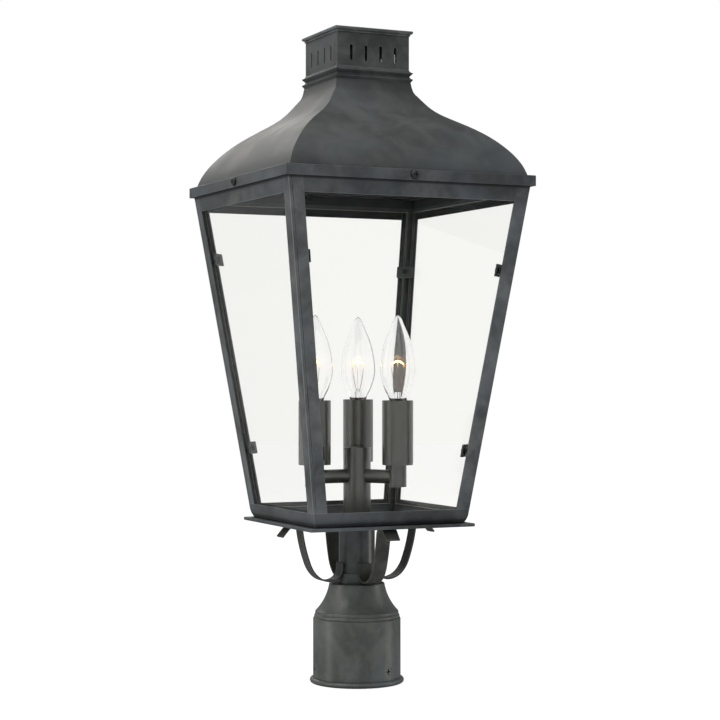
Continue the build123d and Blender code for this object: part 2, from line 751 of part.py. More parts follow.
def make_lead(angle):
    """From the socket down to the arm, along it to the column and down the pipe."""
    near, far = lead_spacing_radius, candle_circle_radius
    bend = lead_bend_radius
    turn = bend * (1 - sin(radians(45)))
    above, below = arm_height + bend, arm_height - bend
    lines = [
        Line((far, 0, lead_top), (far, 0, above)),
        ThreePointArc((far, 0, above), (far - turn, 0, arm_height + turn), (far - bend, 0, arm_height)),
        Line((far - bend, 0, arm_height), (near + bend, 0, arm_height)),
        ThreePointArc((near + bend, 0, arm_height), (near + turn, 0, arm_height - turn), (near, 0, below)),
        Line((near, 0, below), (near, 0, lead_end)),
    ]
    path = joined(lines)
    section = Plane(origin=(far, 0, lead_top), z_dir=(0, 0, -1)) * Circle(lead_radius)
    return radial(sweep(section, path=path), angle)


# ---------------------------------------------------------------- roof
def make_skirt():
    outer, inner = skirt_half, skirt_half - sheet
    ledge_end = skirt_half - skirt_ledge_depth
    blend = skirt_edge_round
    lines = [Line((outer, skirt_base), (outer, skirt_top - blend)),
             rounded((outer, skirt_top - blend), (outer - blend, skirt_top)),
             Polyline((outer - blend, skirt_top), (ledge_end, skirt_top), (ledge_end, skirt_ledge_base),
                      (inner, skirt_ledge_base), (inner, skirt_base), (outer, skirt_base))]
    ring = square_turned(joined(lines))
    hole = Pos(0, -skirt_half, skirt_middle) * Rot(90, 0, 0) * Cylinder(skirt_screw_hole / 2, 4 * sheet)
    for cutter in around(hole):
        ring = ring - cutter
    return ring


def roof_curve(inset):
    """The ogee from eave to top as (half width, height); inset moves it in and down."""
    eave, top = roof_eave_half, roof_top_half
    span = eave - top
    shape = ((0.0, 0.0), (0.032, 0.082), (0.105, 0.198), (0.225, 0.327), (0.4, 0.463), (0.62, 0.59),
             (0.825, 0.725), (0.94, 0.855), (1.0, 1.0))
    points = [(eave - inset - span * across, skirt_top - inset + roof_height * up) for across, up in shape]
    return Spline(points, tangents=[(-0.3, 1), (-0.15, 1)])


def make_roof():
    outer = roof_curve(0)
    inner = roof_curve(roof_shell)
    low, high = inner @ 0, inner @ 1
    shell = square_turned(joined([outer, Polyline(outer @ 1, (high.X, roof_top), high), inner,
                                  Line(low, outer @ 0)]))
    below = Pos(0, 0, skirt_top) * Box(4 * skirt_half, 4 * skirt_half, 4 * skirt_height,
                                       align=(Align.CENTER, Align.CENTER, Align.MAX))
    return shell - below


def make_moulding():
    """Two knife-edged flanges, one above the other, as one folded strip around the chimney's foot."""
    corner = (moulding_neck_half + moulding_foot_flare, roof_top)
    lines = [Line((moulding_inner_half, roof_top), corner)]
    for step in range(2):
        tip_height = roof_top + (step + 0.5) * moulding_step
        top = roof_top + (step + 1) * moulding_step
        neck = moulding_neck_half if step == 0 else chimney_half + moulding_fit
        edge_low = (moulding_reach, tip_height - moulding_edge / 2)
        edge_high = (moulding_reach, tip_height + moulding_edge / 2)
        lines.append(Polyline(corner, edge_low, edge_high))
        sag = ((edge_high[0] + neck) / 2 - moulding_sag, (edge_high[1] + top) / 2 - moulding_sag)
        lines.append(ThreePointArc(edge_high, sag, (neck, top)))
        corner = (neck, top)
    lines.append(Polyline(corner, (moulding_inner_half, moulding_top), (moulding_inner_half, roof_top)))
    return square_turned(joined(lines))


def make_chimney():
    inner = chimney_half - chimney_wall
    wall = Polyline((inner, moulding_top), (chimney_half, moulding_top), (chimney_half, chimney_top),
                    (inner, chimney_top), close=True)
    box = square_turned(wall)
    slot = Plane.XZ * SlotOverall(slot_length, slot_width, rotation=90)
    cutter = extrude(slot, 4 * chimney_wall, both=True)
    first = -(slot_count - 1) / 2 * slot_pitch
    for index in range(slot_count):
        place = Pos(first + index * slot_pitch, -chimney_half, moulding_top + slot_middle) * cutter
        for hole in around(place):
            box = box - hole
    return box


def make_cap():
    blend = cap_edge_round
    lip = chimney_half + cap_fit
    lines = [Line((0, cap_top), (cap_half - blend, cap_top)),
             rounded((cap_half, cap_top - blend), (cap_half - blend, cap_top)),
             Polyline((cap_half, cap_top - blend), (cap_half, cap_top - 1.8 * blend),
                      (cap_half - cap_undercut, chimney_top - cap_edge_drop),
                      (lip + cap_lip_thickness, chimney_top - cap_edge_drop),
                      (lip + cap_lip_thickness, chimney_top - cap_lip_height),
                      (lip, chimney_top - cap_lip_height), (lip, chimney_top), (0, chimney_top),
                      (0, cap_top))]
    return square_turned(joined(lines))


def make_skirt_screw():
    inner_face = cage_half(skirt_middle) - sheet
    length = skirt_half - inner_face + skirt_nut_gap + skirt_nut_height + skirt_screw_beyond_nut
    screw = pan_head_screw(skirt_head_diameter, skirt_head_height, skirt_screw_diameter, length)
    return Pos(0, -skirt_half, skirt_middle) * Rot(90, 0, 0) * screw


def make_skirt_nut():
    lean = taper * skirt_nut_across_flats / 2
    outer_face = cage_half(skirt_middle) - sheet - lean - skirt_nut_gap
    nut = hexagon_nut(skirt_nut_across_flats, skirt_nut_height, skirt_screw_diameter / 2 + thread_clearance)
    return Pos(0, -outer_face, skirt_middle) * Rot(-90, 0, 0) * nut


# ---------------------------------------------------------------- nodes
nodes = {
    "post_fitter": make_fitter(),
    "stem_collar": make_collar(),
    "neck_tube": tube(neck_radius, neck_radius - neck_wall, neck_base, plate_base),
    "base_plate": make_plate(),
    "threaded_pipe": make_pipe(),
    "pipe_nuts": make_pipe_nuts(),
    "bottom_rails": around(make_bottom_rail()),
    "top_rails": around(make_top_rail()),
    "column_tube": make_column(),
    "column_cap": make_column_cap(),
    "socket_bodies": [make_socket_body(angle) for angle in candle_angles],
    "socket_screw_shells": [make_screw_shell(angle) for angle in candle_angles],
    "socket_contacts": [make_contact(angle) for angle in candle_angles],
    "lead_wires": [make_lead(angle) for angle in candle_angles],
    "roof_shell": make_roof(),
    "roof_skirt": make_skirt(),
    "chimney_moulding": make_moulding(),
    "chimney_box": make_chimney(),
    "chimney_cap": make_cap(),
    "skirt_screws": around(make_skirt_screw()),
    "skirt_nuts": around(make_skirt_nut()),
}
for name, maker in (("glass_clips", make_clip), ("clip_bosses", make_boss), ("clip_screws", make_clip_screw)):
    nodes[name] = [around(maker(height))[corner] for heights in (lower_clip_heights, upper_clip_heights)
                   for corner, height in enumerate(heights)]
for side, strap in zip(("right", "back", "left", "front"), around(make_strap())):
    nodes[f"scroll_strap_{side}"] = strap
for corner, post in zip(corners, around(make_corner_post())):
    nodes[f"corner_post_{corner}"] = post
for side, pane in zip(sides, around(make_pane())):
    nodes[f"glass_pane_{side}"] = pane
for index, angle in enumerate(set_screw_angles, start=1):
    nodes[f"set_screw_{index}"] = make_set_screw(angle)
for index, angle in enumerate(candle_angles, start=1):
    nodes[f"side_arm_{index}"] = make_arm(angle)
    nodes[f"socket_cup_{index}"] = make_cup(angle)
    nodes[f"candle_sleeve_{index}"] = make_sleeve(angle)
    nodes[f"lamp_glass_{index}"] = make_lamp_glass(angle)
    nodes[f"lamp_base_{index}"] = make_lamp_base(angle)
    nodes[f"lamp_contact_{index}"] = make_lamp_contact(angle)
    nodes[f"lamp_filament_{index}"] = make_filament(angle)

os.makedirs("parts", exist_ok=True)
for name, shape in nodes.items():
    if isinstance(shape, list):
        shape = Compound(children=[piece.solid() for piece in shape])
    export_step(shape, f"parts/{name}.step")
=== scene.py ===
"""The post top lantern in its studio: finishes for every piece, lit lamp wires, floor, lights and camera."""
import math

import bmesh
import bpy
from mathutils import Matrix, Vector


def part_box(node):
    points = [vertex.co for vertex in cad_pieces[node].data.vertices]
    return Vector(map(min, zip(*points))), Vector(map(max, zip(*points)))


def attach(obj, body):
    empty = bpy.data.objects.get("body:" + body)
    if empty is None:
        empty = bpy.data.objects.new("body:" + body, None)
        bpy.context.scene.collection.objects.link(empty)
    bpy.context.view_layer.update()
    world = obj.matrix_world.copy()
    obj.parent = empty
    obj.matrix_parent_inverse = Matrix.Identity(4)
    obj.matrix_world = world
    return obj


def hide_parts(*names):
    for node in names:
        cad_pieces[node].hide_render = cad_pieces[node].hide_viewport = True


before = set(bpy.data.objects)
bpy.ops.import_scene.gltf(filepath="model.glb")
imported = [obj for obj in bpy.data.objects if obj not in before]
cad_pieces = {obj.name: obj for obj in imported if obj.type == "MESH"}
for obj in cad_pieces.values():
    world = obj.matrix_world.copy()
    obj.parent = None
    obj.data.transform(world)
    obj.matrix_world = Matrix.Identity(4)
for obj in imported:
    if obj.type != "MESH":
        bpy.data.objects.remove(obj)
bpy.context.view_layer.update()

# ---------------------------------------------------------------- sizes, in metres
skirt_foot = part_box("roof_skirt")[0].z
filament_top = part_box("lamp_filament_1")[1].z

# paint
edge_width = 0.0012             # of the strip along an edge where paint is thin, or where glass is ground and painted pale as a glint
crevice_reach = 0.006
relief_depth = 0.0004
seam_start = 0.0001             # of the painted highlight's lip, from the corner of an angle post
seam_width = 0.0019
seam_blur = 0.0004
seam_shade_reach = 0.0006        # of the painted shade line, to each side of its middle
seam_shade_core = 0.0001
skirt_shadow_top = 0.0012         # of the painted shadow line, below the skirt's foot
skirt_shadow_end = 0.0026

# how strong the effects are, from 0 to 1
wide_cloud_share = 0.62
bloom_amount = 0.6
fleck_amount = 0.22
grain_height = 0.08             # where the dents' height is 1
# painted highlight and painted shade at an angle post's seam
seam_highlight_amount = 0.5
seam_shade_amount = 0.75
# painted shadow under the roof's skirt
skirt_shadow_amount = 0.7
stain_roughness = 0.12

# lit wires, measured down from the top of the filament
hot_middle_depth = 0.002
hot_depth = 0.005
warm_depth = 0.0085
glow_reach = 0.014              # of the warm light in the lamp's glass, up and down from the hot middle
arch_depth = 0.0042             # of the coil's ends

coil_wire_radius = 0.00026
coil_radius = 0.0008
coil_turns = 18
coil_steps = 260
arch_half_width = 0.0062
arch_rise = 0.0032
support_radius = 0.00024
support_foot = 0.0013           # from the lamp's middle
support_bow = 0.0009
hook_wire_radius = 0.00018
hook_radius = 0.0009
hook_height = 0.0026            # of the hook's middle, above the coil's ends
hook_angles = range(-90, 200, 24)   # degrees, round the hook
hook_foot_lift = 0.0002
hook_bow = 0.0008

# light, as strengths of emission
filament_glow = 4.5
paper_glow = 0.1
seen_paper_glow = 0.79          # added where the camera sees the paper
light_around = 0.6
less_in_mirrors = 0.36

# studio
floor_radius = 6.0
floor_sides = 96
floor_gap = 0.0002              # under the lantern's foot
aim_height = 0.32               # of the point that the soft lamps look at
photo_pixels = 720
focal_pixels = 1866.8
horizon_row = 374.18            # the photograph's row that is level with the camera
camera_turn = -24.794           # degrees about Z from the lantern's front, so to its left
camera_distance = 1.767
camera_height = 0.2909
camera_aside = 0.0030           # to the right
film_width = 36.0               # millimetres

up = Vector((0, 0, 1))
sides = ("front", "right", "back", "left")
corners = ("front_left", "front_right", "back_right", "back_left")
numbers = (1, 2, 3)             # of the lamps, what carries them, and the set screws
screwed_in_at = {1: -60, 2: 24, 3: 12}  # degrees that each lamp's wires are turned from pointing outwards


# ---------------------------------------------------------------- colours
def linear(red, green, blue):
    """A screen colour, 0 to 255, as the linear colour that the shaders take."""
    parts = [value / 255 for value in (red, green, blue)]
    return tuple(v / 12.92 if v <= 0.04045 else ((v + 0.055) / 1.055) ** 2.4 for v in parts) + (1.0,)


# painted shade, with some grime, in crevices
shade_and_grime_dark = linear(12, 12, 12)
# painted shadow under the roof's skirt
skirt_shade = linear(18, 18, 18)
# painted shade and painted highlight at an angle post's seam
seam_shade = linear(36, 37, 37)
seam_highlight = linear(124, 127, 127)
cut_edge_frost_and_glint = linear(168, 171, 160)
filament_copper = linear(150, 110, 60)
unlit = (0.0, 0.0, 0.0, 1)
warm_light = (1.0, 0.72, 0.38, 1)
orange_heat = (0.5, 0.2, 0.04, 1)
yellow_heat = (1.0, 0.64, 0.27, 1)
bright_paper = (0.9, 0.9, 0.9, 1)
seen_paper = (0.2, 0.2, 0.2, 1)
pure_white = (1, 1, 1, 1)
sky_white = (0.94, 0.97, 1.0, 1)
warm_lamp = (1.0, 0.96, 0.87)
soft_lamp = (1.0, 0.97, 0.92)
cool_lamp = (0.97, 0.98, 1.0)


# ---------------------------------------------------------------- node helpers
def add_node(tree, kind, place, **settings):
    """A shader node at a place in its tree, with its settings."""
    node = tree.nodes.new(kind)
    node.location = place
    for name, value in settings.items():
        setattr(node, name, value)
    return node


def feed(tree, socket, value):
    """Gives a socket a link from another socket, or else a fixed value."""
    if isinstance(value, (int, float, tuple)):
        socket.default_value = value
    else:
        tree.links.new(value, socket)


def noise(tree, where, place, scale, detail=4.0, roughness=0.55, distortion=0.0):
    """A noise texture read at a position."""
    node = add_node(tree, "ShaderNodeTexNoise", place)
    tree.links.new(where, node.inputs["Vector"])
    node.inputs["Scale"].default_value = scale
    node.inputs["Detail"].default_value = detail
    node.inputs["Roughness"].default_value = roughness
    node.inputs["Distortion"].default_value = distortion
    return node.outputs["Fac"]


def spread(tree, value, place, low, high):
    """Runs smoothly from 0 at the value low to 1 at the value high, which may be the lesser one."""
    node = add_node(tree, "ShaderNodeMapRange", place, interpolation_type="SMOOTHSTEP")
    tree.links.new(value, node.inputs["Value"])
    node.inputs["From Min"].default_value = low
    node.inputs["From Max"].default_value = high
    return node.outputs["Result"]


def sums(tree, kind, place, *values, clamp=False):
    """One arithmetic step on up to three values, each a socket or a number."""
    node = add_node(tree, "ShaderNodeMath", place, operation=kind, use_clamp=clamp)
    for socket, value in zip(node.inputs, values):
        feed(tree, socket, value)
    return node.outputs[0]


def blend_colours(tree, place, amount, first, second):
    """A mix from the first colour to the second; each is a socket or a fixed colour."""
    node = add_node(tree, "ShaderNodeMix", place, data_type="RGBA")
    tree.links.new(amount, node.inputs["Factor"])
    for name, value in (("A", first), ("B", second)):
        feed(tree, [s for s in node.inputs if s.name == name and s.type == "RGBA"][0], value)
    return [s for s in node.outputs if s.type == "RGBA"][0]


def blend_shaders(tree, place, amount, first, second):
    """A mix from the first shader to the second."""
    node = add_node(tree, "ShaderNodeMixShader", place)
    for socket, value in zip(node.inputs, (amount, first, second)):
        tree.links.new(value, socket)
    return node.outputs[0]


def object_position(tree, place):
    """The position on the lantern, in metres."""
    return add_node(tree, "ShaderNodeTexCoord", place).outputs["Object"]


def axes_of(tree, where, place):
    """The X, Y and Z sockets of a position."""
    parts = add_node(tree, "ShaderNodeSeparateXYZ", place)
    tree.links.new(where, parts.inputs[0])
    return parts.outputs


def edge_turn(tree, place, width):
    """How far the surface turns within a width: 0 on flat faces and up to 1 at edges."""
    x, y = place
    rounded = add_node(tree, "ShaderNodeBevel", place, samples=6)
    feed(tree, rounded.inputs["Radius"], width)
    flat = add_node(tree, "ShaderNodeNewGeometry", (x, y - 200))
    facing = add_node(tree, "ShaderNodeVectorMath", (x + 200, y - 100), operation="DOT_PRODUCT")
    tree.links.new(rounded.outputs["Normal"], facing.inputs[0])
    tree.links.new(flat.outputs["Normal"], facing.inputs[1])
    turned = sums(tree, "SUBTRACT", (x + 380, y - 100), 1.0, facing.outputs["Value"])
    return spread(tree, turned, (x + 560, y - 100), low=0.01, high=0.16)


def new_group(name, inputs, outputs):
    """An empty shader group with its sockets: (name, type, default) in and (name, type) out."""
    group = bpy.data.node_groups.new(name, "ShaderNodeTree")
    for label, kind, default in inputs:
        socket = group.interface.new_socket(label, in_out="INPUT", socket_type=kind)
        if default is not None:
            socket.default_value = default
    for label, kind in outputs:
        group.interface.new_socket(label, in_out="OUTPUT", socket_type=kind)
    start = add_node(group, "NodeGroupInput", (-900, 0))
    end = add_node(group, "NodeGroupOutput", (900, 0))
    return group, start, end


# ---------------------------------------------------------------- shared surface effects
def make_mottled_patina():
    """Hand rubbed dark paint on zinc: soft clouds, cool bloom and small flecks."""
    group, start, end = new_group(
        "mottled patina",
        [("Position", "NodeSocketVector", None), ("Dark", "NodeSocketColor", (0.03, 0.03, 0.03, 1)),
         ("Pale", "NodeSocketColor", (0.1, 0.1, 0.1, 1)), ("Bloom", "NodeSocketColor", (0.1, 0.12, 0.13, 1)),
         ("Clouds per metre", "NodeSocketFloat", 22.0), ("Contrast", "NodeSocketFloat", 1.0)],
        [("Color", "NodeSocketColor"), ("Cloud", "NodeSocketFloat"), ("Height", "NodeSocketFloat")])
    where = start.outputs["Position"]
    scaled = add_node(group, "ShaderNodeVectorMath", (-700, 200), operation="SCALE")
    group.links.new(where, scaled.inputs[0])
    group.links.new(start.outputs["Clouds per metre"], scaled.inputs["Scale"])
    in_clouds = scaled.outputs[0]
    wide = noise(group, in_clouds, (-500, 300), scale=1.0, detail=5.0, roughness=0.55, distortion=0.4)
    rubbed = noise(group, in_clouds, (-500, 100), scale=3.1, detail=4.0, roughness=0.6, distortion=0.8)
    rubbed_part = sums(group, "MULTIPLY", (-300, 60), rubbed, 1 - wide_cloud_share)
    both = sums(group, "MULTIPLY_ADD", (-300, 200), wide, wide_cloud_share, rubbed_part)
    cloud = spread(group, both, (-120, 200), low=0.36, high=0.66)
    strength = sums(group, "MULTIPLY", (60, 200), cloud, start.outputs["Contrast"])
    base = blend_colours(group, (240, 260), strength, start.outputs["Dark"], start.outputs["Pale"])
    patch = noise(group, in_clouds, (-500, -120), scale=0.55, detail=3.0, roughness=0.5, distortion=0.2)
    bloom = spread(group, patch, (-300, -120), low=0.45, high=0.7)
    bloom = sums(group, "MULTIPLY", (-120, -120), bloom, bloom_amount)
    cooled = blend_colours(group, (420, 200), bloom, base, start.outputs["Bloom"])
    speck = noise(group, where, (-500, -320), scale=420.0, detail=2.0, roughness=0.5)
    fleck = spread(group, speck, (-300, -320), low=0.66, high=0.78)
    fleck = sums(group, "MULTIPLY", (-120, -320), fleck, fleck_amount)
    flecked = blend_colours(group, (600, 160), fleck, cooled, start.outputs["Pale"])
    grain = noise(group, where, (-500, -520), scale=900.0, detail=3.0, roughness=0.6)
    dents = noise(group, where, (-500, -700), scale=55.0, detail=2.0, roughness=0.5)
    height = sums(group, "MULTIPLY_ADD", (-200, -560), grain, grain_height, dents)
    group.links.new(flecked, end.inputs["Color"])
    group.links.new(cloud, end.inputs["Cloud"])
    group.links.new(height, end.inputs["Height"])
    return group


def make_rubbed_edges():
    """Where the paint has rubbed thin along outer edges, broken up by noise."""
    group, start, end = new_group(
        "rubbed edges",
        [("Position", "NodeSocketVector", None), ("Width", "NodeSocketFloat", edge_width),
         ("Amount", "NodeSocketFloat", 0.5)],
        [("Mask", "NodeSocketFloat")])
    edge = edge_turn(group, (-600, 200), start.outputs["Width"])
    patch = noise(group, start.outputs["Position"], (-400, -150), scale=70.0, detail=4.0, roughness=0.6)
    patch = spread(group, patch, (-220, -150), low=0.3, high=0.62)
    mask = sums(group, "MULTIPLY", (140, 60), edge, patch)
    mask = sums(group, "MULTIPLY", (320, 60), mask, start.outputs["Amount"], clamp=True)
    group.links.new(mask, end.inputs["Mask"])
    return group


def make_crevice_shading():
    """Painted shade, with some grime, where little open air reaches: joints, grooves and the rings round
    screw heads.
    """
    group, start, end = new_group(
        "crevice_shading", [("Reach", "NodeSocketFloat", crevice_reach)], [("Mask", "NodeSocketFloat")])
    open_air = add_node(group, "ShaderNodeAmbientOcclusion", (-400, 0), samples=6)
    group.links.new(start.outputs["Reach"], open_air.inputs["Distance"])
    mask = spread(group, open_air.outputs["AO"], (-200, 0), low=0.86, high=0.4)
    group.links.new(mask, end.inputs["Mask"])
    return group


mottled_patina = make_mottled_patina()
rubbed_edges = make_rubbed_edges()
crevice_shading = make_crevice_shading()


# ---------------------------------------------------------------- paints and metals
def new_finish(name):
    """A material with one Principled shader: gives back the material, tree, shader and output socket."""
    material = bpy.data.materials.new(name)
    material.use_nodes = True
    tree = material.node_tree
    tree.nodes.clear()
    output = add_node(tree, "ShaderNodeOutputMaterial", (1100, 0))
    shader = add_node(tree, "ShaderNodeBsdfPrincipled", (600, 0))
    tree.links.new(shader.outputs[0], output.inputs["Surface"])
    return material, tree, shader, output.inputs["Surface"]


def seam_highlight_and_shade(tree, where, colour):
    """Painted light at the seam beside the corner of an angle post: a pale lip that is a painted highlight,
    with a dark line of painted shade next to it.
    """
    at = axes_of(tree, where, (-500, 600))
    across = sums(tree, "ABSOLUTE", (-340, 640), at["X"])
    along = sums(tree, "ABSOLUTE", (-340, 560), at["Y"])
    off = sums(tree, "SUBTRACT", (-180, 600), across, along)
    lip_start = spread(tree, off, (-20, 700), low=seam_start, high=seam_start + seam_blur)
    lip_end = spread(tree, off, (-20, 600), low=seam_width, high=seam_width - seam_blur)
    lip = sums(tree, "MULTIPLY", (140, 660), lip_start, lip_end)
    lip = sums(tree, "MULTIPLY", (140, 600), lip, seam_highlight_amount)
    highlighted = blend_colours(tree, (300, 600), lip, colour, seam_highlight)
    from_line = sums(tree, "SUBTRACT", (-20, 480), off, seam_width + seam_blur)
    from_line = sums(tree, "ABSOLUTE", (140, 480), from_line)
    line = spread(tree, from_line, (300, 480), low=seam_shade_reach, high=seam_shade_core)
    line = sums(tree, "MULTIPLY", (300, 420), line, seam_shade_amount)
    return blend_colours(tree, (460, 560), line, highlighted, seam_shade)


def skirt_shadow_line(tree, where, colour):
    """The thin line of painted shadow, with some grime, just under the roof's skirt."""
    height = axes_of(tree, where, (-500, 900))["Z"]
    end, top = skirt_foot - skirt_shadow_end, skirt_foot - skirt_shadow_top
    near = spread(tree, height, (-340, 900), low=end, high=top)
    near = sums(tree, "MULTIPLY", (-180, 900), near, skirt_shadow_amount)
    return blend_colours(tree, (460, 900), near, colour, skirt_shade)


def weathered_paint(name, dark, pale, bloom, worn, clouds=22.0, contrast=1.0, wear=0.6, gloss=0.5, bump=0.25,
                    shine=0.5, uneven=0.14, shade_and_grime=0.7, seam=False, shadow_under_skirt=False):
    """Satin paint over sheet or cast metal, mottled, with its edges rubbed pale and painted shade, with some
    grime, in its joints.
    """
    material, tree, shader, _ = new_finish(name)
    where = object_position(tree, (-900, 0))
    patina = add_node(tree, "ShaderNodeGroup", (-500, 200), node_tree=mottled_patina)
    tree.links.new(where, patina.inputs["Position"])
    patina.inputs["Dark"].default_value = linear(*dark)
    patina.inputs["Pale"].default_value = linear(*pale)
    patina.inputs["Bloom"].default_value = linear(*bloom)
    patina.inputs["Clouds per metre"].default_value = clouds
    patina.inputs["Contrast"].default_value = contrast
    edges = add_node(tree, "ShaderNodeGroup", (-500, -150), node_tree=rubbed_edges)
    tree.links.new(where, edges.inputs["Position"])
    edges.inputs["Amount"].default_value = wear
    colour = blend_colours(tree, (150, 200), edges.outputs["Mask"], patina.outputs["Color"], linear(*worn))
    # painted highlight and painted shade at the seam beside the post's corner
    if seam:
        colour = seam_highlight_and_shade(tree, where, colour)
    # painted shadow under the roof's skirt
    if shadow_under_skirt:
        colour = skirt_shadow_line(tree, where, colour)
    # painted shade, with some grime, where little open air reaches: joints, grooves, screw heads
    crevice_shade_node = add_node(tree, "ShaderNodeGroup", (-500, -350), node_tree=crevice_shading)
    shade_and_grime_mask = sums(tree, "MULTIPLY", (150, -350), crevice_shade_node.outputs["Mask"], shade_and_grime)
    colour = blend_colours(tree, (350, 200), shade_and_grime_mask, colour, shade_and_grime_dark)
    tree.links.new(colour, shader.inputs["Base Color"])
    rough = sums(tree, "MULTIPLY_ADD", (150, -50), patina.outputs["Cloud"], uneven, gloss - uneven / 2)
    tree.links.new(rough, shader.inputs["Roughness"])
    relief = add_node(tree, "ShaderNodeBump", (350, -250))
    relief.inputs["Strength"].default_value = bump
    relief.inputs["Distance"].default_value = relief_depth
    tree.links.new(patina.outputs["Height"], relief.inputs["Height"])
    tree.links.new(relief.outputs["Normal"], shader.inputs["Normal"])
    shader.inputs["Metallic"].default_value = 0.0
    shader.inputs["Specular IOR Level"].default_value = shine
    return material


def plain_metal(name, colour, stained, roughness):
    """Bare plated metal with faint stains."""
    material, tree, shader, _ = new_finish(name)
    marks = noise(tree, object_position(tree, (-700, 0)), (-500, 100), scale=140.0)
    stain = spread(tree, marks, (-300, 100), low=0.4, high=0.7)
    mixed = blend_colours(tree, (-50, 100), stain, linear(*colour), linear(*stained))
    tree.links.new(mixed, shader.inputs["Base Color"])
    rough = sums(tree, "MULTIPLY_ADD", (-50, -80), stain, stain_roughness, roughness)
    tree.links.new(rough, shader.inputs["Roughness"])
    shader.inputs["Metallic"].default_value = 1.0
    return material


# ---------------------------------------------------------------- glass and hot wire
def warm_the_glass(tree, where, shader, glow):
    """The glow that a lit filament leaves in the lamp's glass, strongest level with the hot wire."""
    height = axes_of(tree, where, (-500, -500))["Z"]
    off = sums(tree, "SUBTRACT", (-320, -500), height, filament_top - hot_middle_depth)
    off = sums(tree, "ABSOLUTE", (-160, -500), off)
    near = spread(tree, off, (0, -500), low=glow_reach, high=0.0)
    warm = blend_colours(tree, (160, -500), near, unlit, warm_light)
    tree.links.new(warm, shader.inputs["Emission Color"])
    shader.inputs["Emission Strength"].default_value = glow


def let_light_through(tree, surface, shade):
    """Clear to shadow and diffuse rays, so that the lantern's inside is lit through the glass."""
    ray = add_node(tree, "ShaderNodeLightPath", (300, 400)).outputs
    through = sums(tree, "MAXIMUM", (500, 400), ray["Is Shadow Ray"], ray["Is Diffuse Ray"])
    open_air = add_node(tree, "ShaderNodeBsdfTransparent", (600, 250))
    open_air.inputs["Color"].default_value = (shade, shade, shade, 1)
    return blend_shaders(tree, (760, 100), through, surface, open_air.outputs[0])


def frost_and_glint_edges(tree, surface):
    """Ground edges where the pane was cut, painted pale: a painted glint of the light that the cut edge
    reflects.
    """
    edge_glint = add_node(tree, "ShaderNodeBsdfPrincipled", (600, -500))
    edge_glint.inputs["Base Color"].default_value = cut_edge_frost_and_glint
    edge_glint.inputs["Roughness"].default_value = 0.35
    cut = edge_turn(tree, (-500, -200), edge_width)
    return blend_shaders(tree, (900, -100), cut, surface, edge_glint.outputs[0])


def clear_glass(name, tint, ior, dust, shade, glinting_cut_edge=False, glow=0.0):
    """Clear glass with a trace of dust. shade is the part of the light that comes through to the inside."""
    material, tree, shader, output = new_finish(name)
    where = object_position(tree, (-700, 0))
    film = spread(tree, noise(tree, where, (-500, 0), scale=18.0, detail=3.0), (-300, 0), low=0.35, high=0.8)
    rough = sums(tree, "MULTIPLY", (-100, 0), film, dust)
    tree.links.new(rough, shader.inputs["Roughness"])
    shader.inputs["Base Color"].default_value = tint
    shader.inputs["Transmission Weight"].default_value = 1.0
    shader.inputs["IOR"].default_value = ior
    if glow:
        warm_the_glass(tree, where, shader, glow)
    surface = let_light_through(tree, shader.outputs[0], shade)
    # ground cut edges, with a painted glint of the light they reflect
    if glinting_cut_edge:
        surface = frost_and_glint_edges(tree, surface)
    tree.links.new(surface, output)
    return material


def lit_filament(name):
    """Hot wire: yellow at the arch, orange at the tips of its supports and coppery below them."""
    material, tree, shader, _ = new_finish(name)
    height = axes_of(tree, object_position(tree, (-700, 0)), (-500, 0))["Z"]
    warm = spread(tree, height, (-300, 100), low=filament_top - warm_depth, high=filament_top - hot_depth)
    hot_middle = filament_top - hot_middle_depth
    hot = spread(tree, height, (-300, -100), low=filament_top - hot_depth, high=hot_middle)
    shader.inputs["Base Color"].default_value = filament_copper
    shader.inputs["Metallic"].default_value = 1.0
    shader.inputs["Roughness"].default_value = 0.35
    glow = blend_colours(tree, (0, 100), warm, unlit, orange_heat)
    glow = blend_colours(tree, (200, 0), hot, glow, yellow_heat)
    tree.links.new(glow, shader.inputs["Emission Color"])
    shader.inputs["Emission Strength"].default_value = filament_glow
    return material


# ---------------------------------------------------------------- the lantern's finishes
cage_paint = weathered_paint("cage paint", dark=(51, 53, 54), pale=(81, 83, 84), bloom=(82, 89, 96),
                             worn=(122, 125, 124), shadow_under_skirt=True)
skirt_paint = weathered_paint("skirt paint", dark=(51, 53, 54), pale=(79, 81, 82), bloom=(81, 87, 93),
                              worn=(112, 115, 115), wear=0.3)
post_paint = weathered_paint("post paint", dark=(57, 59, 60), pale=(94, 96, 97), bloom=(95, 101, 107),
                             worn=(128, 132, 132), seam=True, shadow_under_skirt=True)
roof_paint = weathered_paint("roof paint", dark=(48, 49, 48), pale=(73, 74, 72), bloom=(68, 74, 78),
                             worn=(112, 114, 112), clouds=13.0)
chimney_paint = weathered_paint("chimney paint", dark=(48, 50, 49), pale=(75, 77, 76), bloom=(69, 76, 81),
                                worn=(116, 118, 117))
cap_paint = weathered_paint("cap paint", dark=(64, 67, 67), pale=(95, 98, 98), bloom=(88, 96, 101),
                            worn=(134, 137, 136), wear=0.9)
fitter_paint = weathered_paint("fitter paint", dark=(66, 69, 66), pale=(96, 98, 94), bloom=(83, 90, 94),
                               worn=(118, 120, 115), clouds=26.0, contrast=0.75, gloss=0.37, wear=0.45,
                               bump=0.05, shine=0.6, uneven=0.03)
neck_paint = weathered_paint("neck paint", dark=(49, 51, 51), pale=(73, 76, 75), bloom=(64, 71, 75),
                             worn=(102, 104, 101), clouds=26.0, gloss=0.3, wear=0.35, bump=0.05, shine=0.9,
                             uneven=0.03)
strap_paint = weathered_paint("strap paint", dark=(45, 46, 43), pale=(72, 72, 66), bloom=(60, 64, 64),
                              worn=(110, 110, 102), clouds=30.0)
